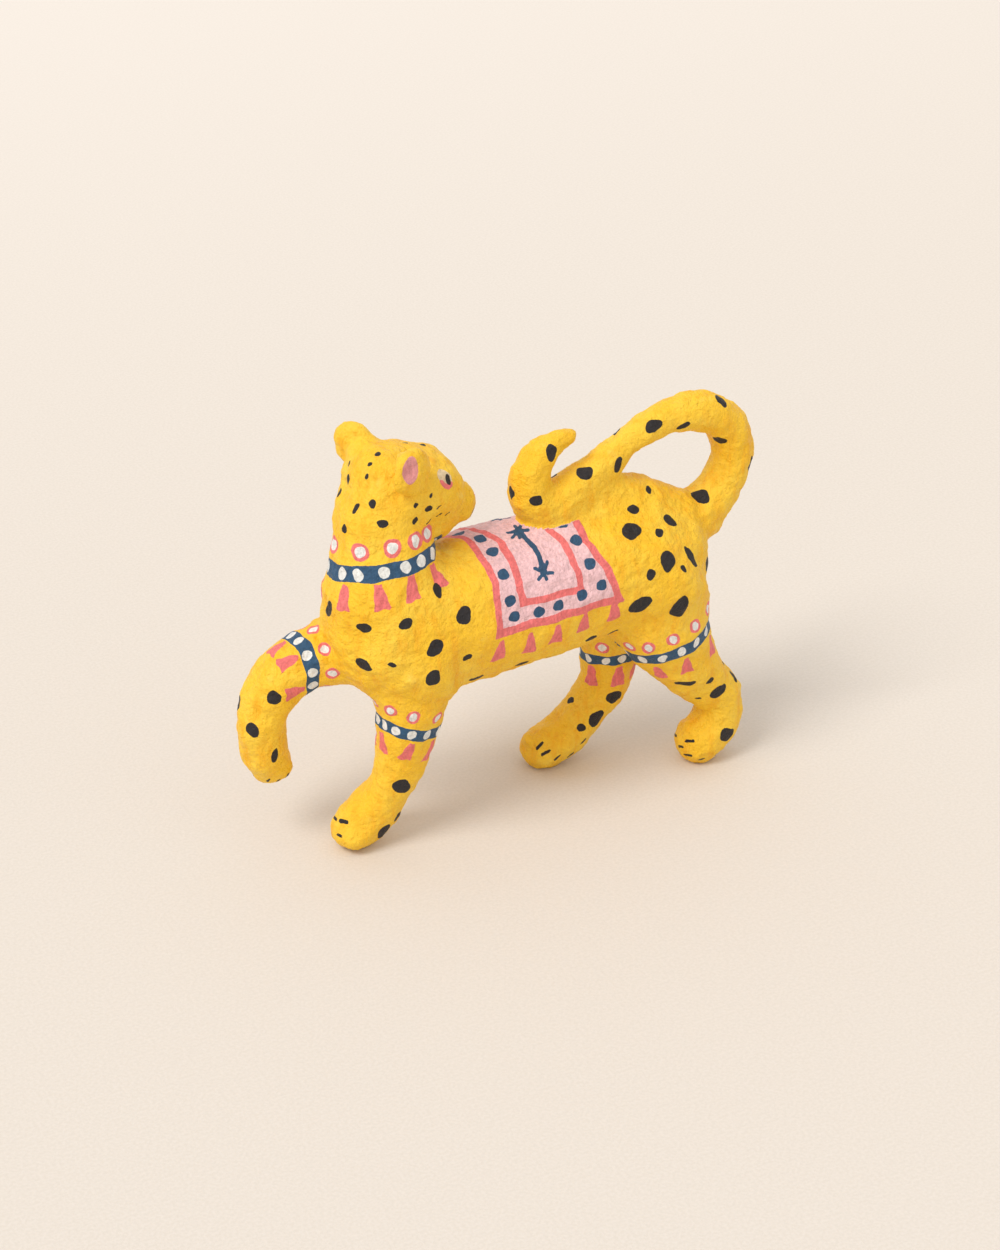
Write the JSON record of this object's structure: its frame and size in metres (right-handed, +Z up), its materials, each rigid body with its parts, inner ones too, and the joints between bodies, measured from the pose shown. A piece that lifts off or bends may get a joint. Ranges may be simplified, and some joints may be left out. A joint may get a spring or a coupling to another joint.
{
  "type": "papier-mache cat figure",
  "caption": "Standing papier-mache big cat figure on wire armature, head turned back, one foreleg raised, looped tail.",
  "frame": {"origin": "middle of the figure's footprint box, on the surface it stands on", "axes": "+Z up; the animal walks towards -X, its left flank is on -Y, and its head is turned back to face +X"},
  "size_m": [0.1914, 0.0514, 0.1485],
  "materials": {
    "painted_paper": "satin",
    "newspaper": "matt",
    "masking_tape": "matt",
    "card": "matt",
    "armature_wire": "satin",
    "binding_wire": "satin",
    "black_paint": "satin",
    "navy_paint": "satin",
    "coral_paint": "satin",
    "pink_paint": "satin",
    "white_paint": "satin"
  },
  "bodies": {
    "root": {"torso_skin": "painted_paper", "torso_core": "newspaper", "torso_tape": "masking_tape", "neck_skin": "painted_paper", "neck_core": "newspaper", "neck_tape": "masking_tape", "head_skin": "painted_paper", "head_core": "newspaper", "head_tape": "masking_tape", "left_foreleg_skin": "painted_paper", "left_foreleg_core": "newspaper", "left_foreleg_tape": "masking_tape", "right_foreleg_skin": "painted_paper", "right_foreleg_core": "newspaper", "right_foreleg_tape": "masking_tape", "left_hindleg_skin": "painted_paper", "left_hindleg_core": "newspaper", "left_hindleg_tape": "masking_tape", "right_hindleg_skin": "painted_paper", "right_hindleg_core": "newspaper", "right_hindleg_tape": "masking_tape", "tail_skin": "painted_paper", "tail_core": "newspaper", "tail_tape": "masking_tape", "left_ear_skin": "painted_paper", "left_ear_card": "card", "right_ear_skin": "painted_paper", "right_ear_card": "card", "spine_wire": "armature_wire", "foreleg_wire": "armature_wire", "hindleg_wire": "armature_wire", "tail_wire": "armature_wire", "shoulder_binding": "binding_wire", "hip_binding": "binding_wire", "tail_binding": "binding_wire"}
  },
  "joints": []
}
